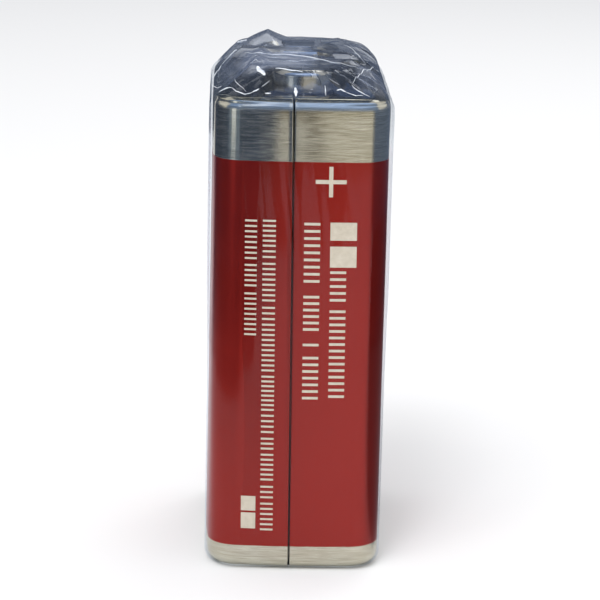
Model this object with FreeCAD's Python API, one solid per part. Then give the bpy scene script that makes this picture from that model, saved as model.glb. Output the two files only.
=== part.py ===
import FreeCAD, Part
import math
import os

# A nine volt layer-built dry battery of the 6F22 size, still in its clear shrink film.
# Millimetres. +Z is up, the origin is at the middle of the underside, and the battery is
# longest in plan along Y. The jacket's seam is on the -Y end, next to the positive stud.

vector = FreeCAD.Vector

# Flat cells, of the F22 size
cell_count = 6
cell_width = 13.5
cell_length = 24.0
cell_height = 6.0
cell_corner = 1.5
envelope_wall = 0.25
envelope_lip_width = 1.2
envelope_lip_thickness = 0.2
zinc_thickness = 0.5
separator_thickness = 0.25
layer_fit = 0.05

# Wrap, card liner and card pad round the stack of cells
wrap_wall = 0.15
wrap_fit = 0.03
liner_wall = 0.4
liner_fit = 0.05
end_space = 0.12
pad_thickness = 0.8

# Collectors: end plate, strap and tab, folded from one tinned strip
collector_thickness = 0.3
collector_bend = 0.06
strap_width = 4.0
strap_fit = 0.08
strap_space = 0.44
strap_notch_fit = 0.2
skirt_gap = 0.14

# Covers, moulded
cover_fit = 0.05
top_plate = 1.2
top_skirt_depth = 4.8
top_rib = 0.8
top_rib_depth = 2.5
bottom_plate = 1.3
bottom_rib_height = 1.0
bottom_rim = 1.6
bottom_rib = 0.8
bottom_pockets_across = 2
bottom_pockets_along = 4

# Jacket: tinplate sheet, lapped at its seam and rolled in over both covers
jacket_wall = 0.25
jacket_corner = 3.05
rim_roll = 1.25
rim_lip = 0.9
seam_x = -0.57
seam_lean = 0.6
seam_gap = 0.15
seam_lap = 2.4
seam_lap_fit = 0.2

# Snap terminals, drawn from sheet, on the standard half inch pitch: the socket's lip stands
# this far from the jacket's lip, and the stud is as far from the middle as the socket
terminal_rim_gap = 0.4
terminal_height = 2.35
terminal_sheet = 0.3
terminal_bend = 0.2
stud_radius = 2.86
stud_neck_radius = 2.72
stud_neck_height = 0.6
stud_bulge_height = 0.85
stud_lean_height = 1.75
stud_crown_radius = 2.25
stud_mouth_radius = 1.75
socket_floor_radius = 3.45
socket_bulge_radius = 3.85
socket_bulge_height = 0.85
socket_throat_radius = 2.86
socket_throat_height = 1.6
socket_lip_radius = 4.1
socket_petals = 6
socket_slot = 0.7
socket_slot_floor = 0.55

# Tubular rivets
rivet_radius = 0.98
rivet_sheet = 0.25
rivet_head_radius = 1.75
rivet_clinch_radius = 1.65
rivet_bend = 0.1
rivet_fit = 0.12

# Shrink film: an open tube, turned in under the base and crumpled shut over the terminals
film_wall = 0.08
film_fit = 0.02
film_lip = 3.0
film_least_corner = 0.6
film_corner_facets = 9
film_short_side_facets = 10
film_long_side_facets = 14
film_roll_facets = 3
film_upright_rings = 5
film_slope_rings = 4
film_top_rings = 6
film_loose = 0.22
film_loose_from = 0.4
film_pull = 0.3

# The hood of the film: a tent over both terminals, gathered in pleats where it slopes down
hood_margin = 0.75
hood_squareness = 3.6
hood_lift = 0.03
hood_belly = 0.12
hood_left_spread = 0.8
hood_right_spread = 0.1
hood_right_lean = 1.35
hood_right_rise = 0.75
pleat_height = 0.35
corner_pleat_height = 0.75

# Shallow creases across the hood, each by its direction in degrees, pitch and height
film_crumples = ((24.0, 4.7, 0.11), (79.0, 5.9, 0.14), (141.0, 3.7, 0.08))

# Pinched folds in the hood, each by its two ends in plan, its height and its half width
film_folds = {
    "peak": ((-3.1, 10.2), (-3.3, 6.4), 0.9, 2.0),
    "left ridge": ((-3.3, 6.4), (-4.2, -5.0), 0.35, 1.0),
    "middle crease, left": ((-6.2, 1.8), (-0.2, 0.8), 0.45, 0.9),
    "middle crease, right": ((-0.2, 0.8), (5.8, -2.4), 0.45, 0.9),
    "right flap": ((4.6, -5.6), (7.2, -9.6), 0.7, 1.3),
    "left ear": ((-4.3, -6.0), (-7.0, -9.8), 0.6, 1.1),
    "back ridge": ((4.8, 9.4), (1.8, 3.4), 0.15, 1.1),
}

# Heights, from the underside of the film upwards
jacket_z = film_wall + film_fit
bottom_cover_z = jacket_z + jacket_wall
negative_plate_z = bottom_cover_z + bottom_plate + bottom_rib_height
stack_z = negative_plate_z + collector_thickness
stack_top_z = stack_z + cell_count * cell_height
pad_z = stack_top_z + collector_thickness
skirt_z = pad_z + pad_thickness
board_underside_z = skirt_z + top_skirt_depth
board_z = board_underside_z + top_plate
jacket_top_z = board_z + jacket_wall
terminal_top_z = board_z + terminal_height

# Sizes in plan, from the cells outwards
wrap_width = cell_width + 2 * (wrap_fit + wrap_wall)
wrap_length = cell_length + 2 * (wrap_fit + wrap_wall)
strap_inner_x = wrap_width / 2 + strap_fit
strap_outer_x = strap_inner_x + collector_thickness
cavity_width = 2 * (strap_outer_x + strap_space + liner_wall + liner_fit)
cavity_length = wrap_length + 2 * (end_space + liner_wall + liner_fit)
cavity_corner = jacket_corner - jacket_wall
jacket_width = cavity_width + 2 * jacket_wall
jacket_length = cavity_length + 2 * jacket_wall
roll_inside = rim_roll - jacket_wall
rim_width = rim_roll + rim_lip
socket_y = jacket_length / 2 - rim_width - terminal_rim_gap - socket_lip_radius
stud_y = -socket_y
terminal_pitch = socket_y - stud_y


def rounded_rectangle(width, length, corner, z):
    """Closed wire centred on the Z axis: four sides joined by quarter arcs."""
    half_x, half_y = width / 2, length / 2
    slant = corner * (1 - math.cos(math.pi / 4))
    edges = []
    for sx, sy in ((1, 1), (-1, 1), (-1, -1), (1, -1)):
        on_side = vector(sx * half_x, sy * (half_y - corner), z)
        middle = vector(sx * (half_x - slant), sy * (half_y - slant), z)
        on_end = vector(sx * (half_x - corner), sy * half_y, z)
        if sx * sy > 0:
            ends = (on_side, on_end)
        else:
            ends = (on_end, on_side)
        edges.append((Part.Arc(ends[0], middle, ends[1]).toShape(), *ends))
    wire = []
    for index, (arc, _, last) in enumerate(edges):
        next_first = edges[(index + 1) % 4][1]
        wire.append(arc)
        wire.append(Part.LineSegment(last, next_first).toShape())
    return Part.Wire(wire)


def slab(width, length, corner, low, high):
    """Upright block with rounded corners in plan."""
    face = Part.Face(rounded_rectangle(width, length, corner, low))
    return face.extrude(vector(0, 0, high - low))


def rounded_at(block, height, radius):
    """The block with its edges at one height rounded over."""
    edges = [edge for edge in block.Edges if all(abs(v.Z - height) < 1e-6 for v in edge.Vertexes)]
    return block.makeFillet(radius, edges)


def box(x, y, z):
    """Block from three pairs of limits."""
    size = (x[1] - x[0], y[1] - y[0], z[1] - z[0])
    return Part.makeBox(*size, vector(x[0], y[0], z[0]))


def post(radius, x, y, low, high):
    """Upright cylinder."""
    return Part.makeCylinder(radius, high - low, vector(x, y, low))


def sheet_side(points, offset, bend, thickness):
    """Edges of one face of a bent sheet: the middle line moved sideways by offset, with an
    arc at each bend, of the inside radius on the near side and a sheet more on the far one."""
    count = len(points)
    steps = [(points[i + 1] - points[i]).normalize() for i in range(count - 1)]
    normals = [vector(-step.z, 0, step.x) for step in steps]
    corners = [points[0] + normals[0] * offset]
    for i in range(1, count - 1):
        both = normals[i - 1] + normals[i]
        corners.append(points[i] + both * (offset / (1 + normals[i - 1].dot(normals[i]))))
    corners.append(points[-1] + normals[-1] * offset)
    edges = []
    last = corners[0]
    for i in range(1, count - 1):
        turn = steps[i - 1].x * steps[i].z - steps[i - 1].z * steps[i].x
        half_turn = math.acos(max(-1.0, min(1.0, steps[i - 1].dot(steps[i])))) / 2
        inside = turn * offset > 0
        radius = bend if inside else bend + thickness
        shorter = min((corners[i] - last).Length, (corners[i + 1] - corners[i]).Length / 2)
        reach = min(radius * math.tan(half_turn), 0.98 * shorter)
        radius = reach / math.tan(half_turn)
        first = corners[i] - steps[i - 1] * reach
        second = corners[i] + steps[i] * reach
        inward = normals[i - 1] * (radius if turn > 0 else -radius)
        centre = first + inward
        middle = centre + (corners[i] - centre).normalize() * radius
        edges.append(Part.LineSegment(last, first).toShape())
        edges.append(Part.Arc(first, middle, second).toShape())
        last = second
    edges.append(Part.LineSegment(last, corners[-1]).toShape())
    return edges, corners[0], corners[-1]


def bent_sheet(line, thickness, bend):
    """Face in the XZ plane: the section of a sheet that follows a middle line of (x, z)
    points, with each corner of the line bent round an inside radius."""
    points = [vector(x, 0, z) for x, z in line]
    left, left_first, left_last = sheet_side(points, thickness / 2, bend, thickness)
    right, right_first, right_last = sheet_side(points, -thickness / 2, bend, thickness)
    caps = [
        Part.LineSegment(left_last, right_last).toShape(),
        Part.LineSegment(right_first, left_first).toShape(),
    ]
    return Part.Face(Part.Wire(Part.__sortEdges__(left + right + caps)))


def turned(section, x, y):
    """A section in the XZ plane turned once round an upright axis through (x, y)."""
    solid = section.revolve(vector(0, 0, 0), vector(0, 0, 1), 360)
    solid.translate(vector(x, y, 0))
    return solid


def jacket():
    """Tinplate sheet wrapped round the block: rolled shoulder and lip at both ends, and a
    seam down the -Y end, whose open joint is closed from inside by a bonded lap."""
    body = slab(jacket_width, jacket_length, jacket_corner, jacket_z, jacket_top_z)
    body = rounded_at(rounded_at(body, jacket_z, rim_roll), jacket_top_z, rim_roll)
    inside = slab(cavity_width, cavity_length, cavity_corner, bottom_cover_z, board_z)
    inside = rounded_at(rounded_at(inside, bottom_cover_z, roll_inside), board_z, roll_inside)
    window = slab(
        jacket_width - 2 * rim_width,
        jacket_length - 2 * rim_width,
        max(jacket_corner - rim_width, jacket_wall),
        jacket_z - 1,
        jacket_top_z + 1,
    )
    front = -jacket_length / 2
    joint = box(
        (seam_x - seam_gap / 2, seam_x + seam_gap / 2),
        (front - 1, front + rim_width + 1),
        (jacket_z - 1, jacket_top_z + 1),
    )
    lap = box(
        (seam_x - seam_lap / 2, seam_x + seam_lap / 2),
        (front + jacket_wall, front + 2 * jacket_wall),
        (stack_z, stack_top_z),
    )
    for piece in (joint, lap):
        piece.rotate(vector(seam_x, 0, (stack_z + stack_top_z) / 2), vector(0, 1, 0), -seam_lean)
    return body.cut(inside).cut(window).cut(joint).fuse(lap).removeSplitter()


def top_cover():
    """Moulded cap under the top rim: a plate that carries the terminals, a skirt that
    presses on the pad, and a cross rib between the two rivets."""
    width, length = cavity_width - 2 * cover_fit, cavity_length - 2 * cover_fit
    corner = cavity_corner - cover_fit
    skirt_wall = width / 2 - strap_outer_x - skirt_gap
    cap = rounded_at(slab(width, length, corner, skirt_z, board_z), board_z, roll_inside)
    hollow = slab(
        width - 2 * skirt_wall,
        length - 2 * skirt_wall,
        max(corner - skirt_wall, skirt_wall),
        skirt_z - 1,
        board_underside_z,
    )
    rib = box(
        (-width / 2 + skirt_wall, width / 2 - skirt_wall),
        (-top_rib / 2, top_rib / 2),
        (board_underside_z - top_rib_depth, board_underside_z),
    )
    cap = cap.cut(hollow).fuse(rib)
    for y in (stud_y, socket_y):
        cap = cap.cut(post(rivet_radius + rivet_fit, 0, y, board_underside_z - 1, board_z + 1))
    return cap.removeSplitter()


def bottom_cover():
    """Moulded tray over the bottom rim, with pockets between ribs on its upper side."""
    width, length = cavity_width - 2 * cover_fit, cavity_length - 2 * cover_fit
    tray = slab(width, length, cavity_corner - cover_fit, bottom_cover_z, negative_plate_z)
    tray = rounded_at(tray, bottom_cover_z, roll_inside)
    pitch_x = (width - 2 * bottom_rim + bottom_rib) / bottom_pockets_across
    pitch_y = (length - 2 * bottom_rim + bottom_rib) / bottom_pockets_along
    for across in range(bottom_pockets_across):
        for along in range(bottom_pockets_along):
            x = -width / 2 + bottom_rim + across * pitch_x
            y = -length / 2 + bottom_rim + along * pitch_y
            pocket = box(
                (x, x + pitch_x - bottom_rib),
                (y, y + pitch_y - bottom_rib),
                (bottom_cover_z + bottom_plate, negative_plate_z + 1),
            )
            tray = tray.cut(pocket)
    return tray


def positive_stud():
    """Drawn cup, widened above its foot and drawn in again to a rolled mouth: the stud that
    a snap socket grips under its bulge."""
    middle = terminal_sheet / 2
    line = [
        (rivet_radius + rivet_fit, board_z + middle),
        (stud_neck_radius - middle, board_z + middle),
        (stud_neck_radius - middle, board_z + stud_neck_height),
        (stud_radius - middle, board_z + stud_bulge_height),
        (stud_radius - middle, board_z + stud_lean_height),
        (stud_crown_radius, terminal_top_z - middle),
        (stud_mouth_radius, terminal_top_z - middle),
    ]
    return turned(bent_sheet(line, terminal_sheet, terminal_bend), 0, stud_y)


def negative_socket():
    """Drawn cup, waisted to a throat and flared at its lip, slotted into sprung petals."""
    middle = terminal_sheet / 2
    line = [
        (rivet_radius + rivet_fit, board_z + middle),
        (socket_floor_radius, board_z + middle),
        (socket_bulge_radius - middle, board_z + socket_bulge_height),
        (socket_throat_radius + middle, board_z + socket_throat_height),
        (socket_lip_radius - middle, terminal_top_z - middle),
    ]
    cup = turned(bent_sheet(line, terminal_sheet, terminal_bend), 0, socket_y)
    slot = box(
        (rivet_head_radius, socket_lip_radius + 1),
        (socket_y - socket_slot / 2, socket_y + socket_slot / 2),
        (board_z + socket_slot_floor, terminal_top_z + 1),
    )
    for index in range(socket_petals):
        turned_slot = slot.copy()
        angle = 360.0 * index / socket_petals
        turned_slot.rotate(vector(0, socket_y, 0), vector(0, 0, 1), angle)
        cup = cup.cut(turned_slot)
    return cup


def rivet(y):
    """Tubular rivet: its head holds a terminal's floor, and its clinched end holds the
    collector's tab against the underside of the top cover."""
    middle = rivet_sheet / 2
    head_z = board_z + terminal_sheet + middle
    clinch_z = board_underside_z - collector_thickness - middle
    line = [
        (rivet_head_radius, head_z),
        (rivet_radius - middle, head_z),
        (rivet_radius - middle, clinch_z),
        (rivet_clinch_radius, clinch_z),
    ]
    return turned(bent_sheet(line, rivet_sheet, rivet_bend), 0, y)


def collector(plate_z, side, strap_x, y):
    """End plate with a strap folded up from its edge on one side (+1 or -1), and over into
    a tab round the rivet at y. strap_x is the middle of the strap's upright run."""
    middle = collector_thickness / 2
    plate = slab(cell_width, cell_length, cell_corner, plate_z, plate_z + collector_thickness)
    tab_z = board_underside_z - middle
    line = [
        (side * (cell_width / 2 - cell_corner), plate_z + middle),
        (side * strap_x, plate_z + middle),
        (side * strap_x, tab_z),
        (0, tab_z),
    ]
    strap = bent_sheet(line, collector_thickness, collector_bend)
    strap = strap.extrude(vector(0, strap_width, 0))
    strap.translate(vector(0, y - strap_width / 2, 0))
    end = post(strap_width / 2, 0, y, tab_z - middle, tab_z + middle)
    hole = post(rivet_radius + rivet_fit, 0, y, tab_z - 1, tab_z + 1)
    return plate.fuse(strap).fuse(end).cut(hole).removeSplitter()


def positive_collector():
    """Lies on the stack. Its strap rises inside the edge of the cells."""
    strap_x = cell_width / 2 - collector_thickness / 2
    return collector(stack_top_z, -1, strap_x, stud_y)


def negative_collector():
    """Lies under the stack. Its strap rises beside the wrapped cells."""
    strap_x = (strap_inner_x + strap_outer_x) / 2
    return collector(negative_plate_z, 1, strap_x, socket_y)


def top_pad():
    """Card between the stack and the skirt, notched where the straps pass."""
    width, length = cavity_width - 2 * liner_fit, cavity_length - 2 * liner_fit
    pad = slab(width, length, cavity_corner - liner_fit, pad_z, skirt_z)
    half_notch = strap_width / 2 + strap_notch_fit
    inner_x = strap_inner_x - strap_notch_fit
    negative = box(
        (inner_x, width), (socket_y - half_notch, socket_y + half_notch), (pad_z - 1, skirt_z + 1)
    )
    inner_x = cell_width / 2 - collector_thickness - strap_notch_fit
    positive = box(
        (-width, -inner_x), (stud_y - half_notch, stud_y + half_notch), (pad_z - 1, skirt_z + 1)
    )
    return pad.cut(negative).cut(positive)


def liner():
    """Card wrapped round the inside of the jacket. Its joint stands open over the seam's
    lap."""
    width, length = cavity_width - 2 * liner_fit, cavity_length - 2 * liner_fit
    corner = cavity_corner - liner_fit
    tube = slab(width, length, corner, negative_plate_z, pad_z)
    inside = slab(
        width - 2 * liner_wall,
        length - 2 * liner_wall,
        corner - liner_wall,
        negative_plate_z - 1,
        pad_z + 1,
    )
    half_joint = seam_lap / 2 + seam_lap_fit
    half_joint += math.sin(math.radians(seam_lean)) * (stack_top_z - stack_z) / 2
    joint = box(
        (seam_x - half_joint, seam_x + half_joint),
        (-length, -length / 2 + 2 * liner_wall),
        (negative_plate_z - 1, pad_z + 1),
    )
    return tube.cut(inside).cut(joint)


def stack_wrap():
    """Plastic tube shrunk round the six cells."""
    corner = cell_corner + wrap_fit
    tube = slab(wrap_width, wrap_length, corner + wrap_wall, stack_z, stack_top_z)
    inside = slab(
        cell_width + 2 * wrap_fit,
        cell_length + 2 * wrap_fit,
        corner,
        stack_z - 1,
        stack_top_z + 1,
    )
    return tube.cut(inside)


def cell(index):
    """The layers of one flat cell, from its underside upwards, each by its name."""
    low = stack_z + index * cell_height
    high = low + cell_height
    inner_low = low + envelope_lip_thickness
    inner_high = high - envelope_lip_thickness
    zinc_top = inner_low + zinc_thickness
    separator_top = zinc_top + separator_thickness

    def layer(inset, bottom, top):
        corner = max(cell_corner - inset, envelope_wall)
        return slab(cell_width - 2 * inset, cell_length - 2 * inset, corner, bottom, top)

    pocket = envelope_wall
    window = envelope_wall + envelope_lip_width
    envelope = layer(0, low, high)
    envelope = envelope.cut(layer(pocket, inner_low, inner_high))
    envelope = envelope.cut(layer(window, low - 1, high + 1))
    cake = layer(pocket + layer_fit, separator_top, inner_high)
    cake = cake.fuse(layer(window + layer_fit, inner_high, high)).removeSplitter()
    return {
        "envelope": envelope,
        "carbon_film": layer(window + layer_fit, low, inner_low),
        "zinc_plate": layer(pocket + layer_fit, inner_low, zinc_top),
        "separator": layer(pocket + layer_fit, zinc_top, separator_top),
        "cathode_cake": cake,
    }


def film_ring(inset, z, skin):
    """One level ring of film points: the outline of the film moved in by inset and by the
    depth of its skin. The corners are facets that touch the true arcs from outside."""
    cover = film_fit + film_wall - skin
    half_x = jacket_width / 2 + cover - inset
    half_y = jacket_length / 2 + cover - inset
    corner = max(jacket_corner + cover - inset, film_least_corner)
    step = math.pi / 2 / film_corner_facets
    corners = []
    for quarter, (sx, sy) in enumerate(((1, 1), (-1, 1), (-1, -1), (1, -1))):
        centre = vector(sx * (half_x - corner), sy * (half_y - corner), z)
        reach = corner / math.cos(step / 2)
        turns = [quarter * math.pi / 2 + (i + 0.5) * step for i in range(film_corner_facets)]
        corners.append([centre + vector(math.cos(a), math.sin(a), 0) * reach for a in turns])
    ring = []
    sides = (film_short_side_facets, film_long_side_facets)
    for quarter, points in enumerate(corners):
        ring += points
        first, last = points[-1], corners[(quarter + 1) % 4][0]
        facets = sides[quarter % 2]
        ring += [first + (last - first) * (i / facets) for i in range(1, facets)]
    return ring


def wave(number, seed):
    """A number from 0 to 1 that jumps about from one whole number to the next."""
    return math.modf(abs(math.sin(12.9898 * number + 78.233 * seed)) * 4375.85)[0]


def loosened(ring):
    """The ring moved outwards by the film's slack, which grows upwards and is taken in again
    at the shoulder. The film is pulled tight on its +X side and so is looser on the other."""
    moved = []
    for station, point in enumerate(ring):
        share = (point.z - jacket_z) / (jacket_top_z - jacket_z)
        share = max(0.0, min(1.0, (share - film_loose_from) / (1 - film_loose_from)))
        out = vector((point.x / jacket_width) ** 5, (point.y / jacket_length) ** 5, 0).normalize()
        swell = min(1.0, 3 * share, 12 * (1.03 - share))
        slack = film_loose * swell * (0.35 + 0.65 * wave(station // 2, 5))
        slack *= 1 - film_pull * point.x / (jacket_width / 2)
        moved.append(point + out * slack)
    return moved


def crest_point(point):
    """Where the line from a point of the shoulder's ring reaches the crest: a superellipse
    round both terminals, wider at the socket's end."""
    low_y = stud_y - stud_radius - hood_margin
    high_y = socket_y + socket_lip_radius + hood_margin / 2
    across = abs(point.x) / (jacket_width / 2)
    along = abs(point.y) / (jacket_length / 2)
    size = (across**hood_squareness + along**hood_squareness) ** (1 / hood_squareness)
    y = (high_y + low_y) / 2 + math.copysign(along / size, point.y) * (high_y - low_y) / 2
    share = (y - stud_y) / (socket_y - stud_y)
    half_x = stud_radius + share * (socket_lip_radius - stud_radius) + 1.6 * hood_margin
    spread = hood_left_spread if point.x < 0 else hood_right_spread
    half_x += spread * max(0.0, min(1.0, share))
    return vector(math.copysign(across / size, point.x) * half_x, y, 0)


def middle_point(point):
    """Where that line ends: on the line between the middles of the two terminals."""
    share = point.y / (jacket_length / 2 - jacket_corner)
    return vector(0, terminal_pitch / 2 * max(-1.0, min(1.0, share)), 0)


def crumple(x, y):
    """Height of the shallow creases at a point: triangle waves that cross one another."""
    rise = 0.0
    for direction, pitch, height in film_crumples:
        turn = math.radians(direction)
        share = (x * math.cos(turn) + y * math.sin(turn)) / pitch % 1
        rise += height * abs(2 * share - 1)
    return rise


def fold_rise(x, y):
    """Height that the pinched folds add at a point: a sharp ridge over each fold's line."""
    rise = 0.0
    for (x0, y0), (x1, y1), height, half_width in film_folds.values():
        run_x, run_y = x1 - x0, y1 - y0
        share = ((x - x0) * run_x + (y - y0) * run_y) / (run_x**2 + run_y**2)
        share = max(0.0, min(1.0, share))
        distance = math.hypot(x - x0 - share * run_x, y - y0 - share * run_y)
        rise = max(rise, height * (1 - distance / half_width))
    return rise


def cornering(point):
    """How near a point of the shoulder's ring is to a corner: 1 at a corner, 0 mid-side."""
    across = abs(point.x) / (jacket_width / 2)
    along = abs(point.y) / (jacket_length / 2)
    return max(0.0, min(1.0, 2.2 * (across + along) - 3.0))


def film_hood(tight, skin):
    """Rings of the hood, from the shoulder up to the line between the terminals. The slope
    is pleated: its ridges and valleys take turns, and are deepest at the corners. On the +X
    side it stands up from the shoulder before it leans in."""
    crest_z = terminal_top_z + hood_lift + film_wall - skin
    rings = []
    for number in range(1, film_slope_rings + film_top_rings + 1):
        climb = min(1.0, number / film_slope_rings)
        blend = max(0.0, (number - film_slope_rings) / film_top_rings)
        ring = []
        for station, (start, point) in enumerate(zip(loosened(tight), tight)):
            crest = crest_point(point)
            right = max(0.0, min(1.0, 0.5 + point.x / stud_radius / 2))
            spot = crest + (middle_point(point) - crest) * blend
            spot = start + (spot - start) * climb ** (1 + (hood_right_lean - 1) * right)
            spot.z = start.z + (crest_z - start.z) * climb ** (1 + (hood_right_rise - 1) * right)
            height = pleat_height + (corner_pleat_height - pleat_height) * cornering(point)
            pleat = height * wave(station, 2) * (station % 2) + hood_belly
            spot.z += pleat * math.sin(math.pi * climb)
            spot.z += (crumple(spot.x, spot.y) + fold_rise(spot.x, spot.y)) * climb
            ring.append(spot)
        rings.append(ring)
    return rings


def film_skin(skin):
    """All rings of one skin of the film, from the opening in the base to the hood's end."""
    roll = rim_roll + film_fit + film_wall
    step = math.pi / 2 / film_roll_facets
    reach = (roll - skin) / math.cos(step / 2)
    top_z = jacket_top_z + film_fit + film_wall
    angles = [(i + 0.5) * step for i in range(film_roll_facets)]
    rings = [film_ring(roll + film_lip, skin, 0)]
    for angle in reversed(angles):
        rings.append(film_ring(roll - reach * math.cos(angle), roll - reach * math.sin(angle), 0))
    side_inset = roll - reach * math.cos(angles[0])
    low_z, high_z = rings[-1][0].z, top_z - roll + reach * math.sin(angles[0])
    for number in range(1, film_upright_rings):
        z = low_z + (high_z - low_z) * number / film_upright_rings
        rings.append(film_ring(side_inset, z, 0))
    for angle in angles:
        inset = roll - reach * math.cos(angle)
        rings.append(film_ring(inset, top_z - roll + reach * math.sin(angle), 0))
    return [loosened(ring) for ring in rings] + film_hood(rings[-1], skin)


def facet(*points):
    """Flat face through its corners in order."""
    return Part.Face(Part.makePolygon([*points, points[0]]))


def band(low, high):
    """Faces between two rings: one facet for each station where its corners lie in a plane,
    two triangles where they don't, and one where the upper ring has run to a point."""
    faces = []
    for i in range(len(low)):
        j = (i + 1) % len(low)
        if (high[j] - high[i]).Length < 1e-6:
            faces.append(facet(low[i], low[j], high[j]))
            continue
        normal = (low[j] - low[i]).cross(high[i] - low[i])
        if abs(normal.normalize().dot(high[j] - low[i])) < 1e-7:
            faces.append(facet(low[i], low[j], high[j], high[i]))
        else:
            faces.append(facet(low[i], low[j], high[j]))
            faces.append(facet(low[i], high[j], high[i]))
    return faces


def shrink_film():
    """Thin film bag: two skins of flat facets, joined round the opening in the base."""
    outer, inner = film_skin(0.0), film_skin(film_wall)
    faces = band(outer[0], inner[0])
    for rings in (outer, inner):
        for low, high in zip(rings, rings[1:]):
            faces += band(low, high)
    solid = Part.makeSolid(Part.makeShell(faces))
    if solid.Volume < 0:
        solid.reverse()
    print(f"film facets: {len(faces)}")
    return solid


def pieces():
    """Every separate piece of the battery, by its name."""
    made = {
        "jacket": jacket(),
        "top_cover": top_cover(),
        "bottom_cover": bottom_cover(),
        "positive_stud": positive_stud(),
        "negative_socket": negative_socket(),
        "positive_rivet": rivet(stud_y),
        "negative_rivet": rivet(socket_y),
        "positive_collector": positive_collector(),
        "negative_collector": negative_collector(),
        "top_pad": top_pad(),
        "liner": liner(),
        "stack_wrap": stack_wrap(),
        "shrink_film": shrink_film(),
    }
    for index in range(cell_count):
        for name, layer in cell(index).items():
            made[f"cell_{index + 1}_{name}"] = layer
    return made


def main():
    os.makedirs("parts", exist_ok=True)
    for name, shape in pieces().items():
        shape.exportStep(os.path.join("parts", name + ".step"))
        bounds = shape.BoundBox
        print(
            f"{name}: {len(shape.Solids)} solid, valid {shape.isValid()}, "
            f"{shape.Volume:.2f} mm3, z {bounds.ZMin:.2f} to {bounds.ZMax:.2f}"
        )
    print(f"terminals {terminal_pitch:.2f} apart")
    print(f"jacket {jacket_width:.2f} x {jacket_length:.2f} x {jacket_top_z - jacket_z:.2f}")


main()
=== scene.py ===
import math

import bpy
import numpy as np
from mathutils import Matrix, Vector


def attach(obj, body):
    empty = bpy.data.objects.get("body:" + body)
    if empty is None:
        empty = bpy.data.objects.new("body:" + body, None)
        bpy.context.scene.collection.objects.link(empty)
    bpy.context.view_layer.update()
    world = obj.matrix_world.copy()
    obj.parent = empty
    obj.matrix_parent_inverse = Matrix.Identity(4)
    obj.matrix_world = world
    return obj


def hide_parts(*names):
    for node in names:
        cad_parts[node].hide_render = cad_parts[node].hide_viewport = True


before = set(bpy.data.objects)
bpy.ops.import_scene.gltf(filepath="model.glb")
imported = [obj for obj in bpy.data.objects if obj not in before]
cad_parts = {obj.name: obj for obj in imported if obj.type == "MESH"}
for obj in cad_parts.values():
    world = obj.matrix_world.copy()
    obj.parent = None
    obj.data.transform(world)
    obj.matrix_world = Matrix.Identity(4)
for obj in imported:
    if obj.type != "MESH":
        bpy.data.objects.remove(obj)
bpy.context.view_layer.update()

MM = 0.001

# Sizes in millimetres and angles in degrees. They repeat the solids' own where there are any,
# so that the dressed pieces lie on them.
JACKET_HALF_WIDTH = 8.45
JACKET_HALF_LENGTH = 13.0
JACKET_LOW, JACKET_HIGH = 0.1, 46.3
JACKET_CORNER = 3.05
RIM_ROLL = 1.25
RIM_WIDTH = 2.15
SHEET = 0.25
SHEET_EDGE = 0.06
SEAM_X = -0.57
LEAN = 0.0105
MIDDLE_HEIGHT = 20.95
RED_LOW, RED_HIGH = 2.46, 40.42
PRINT_MIDDLE = 23.0
PLATE_LIFT = 0.02
TERMINAL_Y = 6.35
TERMINAL_TOP = 48.4
TERMINAL_SHEET = 0.3
COVER_TOP = 46.05
STUD_RADIUS = 2.86
STUD_FOOT_BEND = 0.26
STUD_WALL_TOP = 1.72
STUD_CROWN_RADIUS = 2.25
STUD_MOUTH_RADIUS = 1.75
STUD_HOLE_RADIUS = 1.1
SOCKET_LIP_RADIUS = 4.1
FILM_COVER = 0.1
FILM_WALL = 0.08
FILM_LIP = 3.0
FILM_LOOSE = 0.22
FILM_LOOSE_FROM = 0.4
FILM_LEAST_CORNER = 0.6
SHOULDER_LEFT_AT = 52.0
HOOD_MARGIN = 0.75
HOOD_SQUARENESS = 3.6
HOOD_LIFT = 0.03
HOOD_SPREAD = 1.2
HOOD_SPREAD_LEFT, HOOD_SPREAD_RIGHT = 1.2, 0.1
PLEAT_HEIGHT = 0.35
CORNER_PLEAT_HEIGHT = 0.4
HOOD_BELLY = 0.12
CREASE_LIFT = 0.02
CREASE_THICKNESS = 0.06


# Mesh helpers
def piece_from(name, points, faces):
    """A smooth-shaded piece from points in millimetres and lists of corners."""
    mesh = bpy.data.meshes.new(name)
    mesh.from_pydata((np.reshape(points, (-1, 3)) * MM).tolist(), [], faces)
    mesh.polygons.foreach_set("use_smooth", np.ones(len(mesh.polygons), dtype=bool))
    mesh.validate()
    piece = bpy.data.objects.new(name, mesh)
    bpy.context.scene.collection.objects.link(piece)
    return piece


def grid_faces(rows, columns, close_across=False, close_along=False, first=0):
    """Corners of the faces between neighbours in a grid of rows by columns of points."""
    index = first + np.arange(rows * columns).reshape(rows, columns)
    if close_across:
        index = np.hstack([index, index[:, :1]])
    if close_along:
        index = np.vstack([index, index[:1]])
    corners = (index[:-1, :-1], index[:-1, 1:], index[1:, 1:], index[1:, :-1])
    return np.stack(corners, axis=-1).reshape(-1, 4).tolist()


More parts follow.
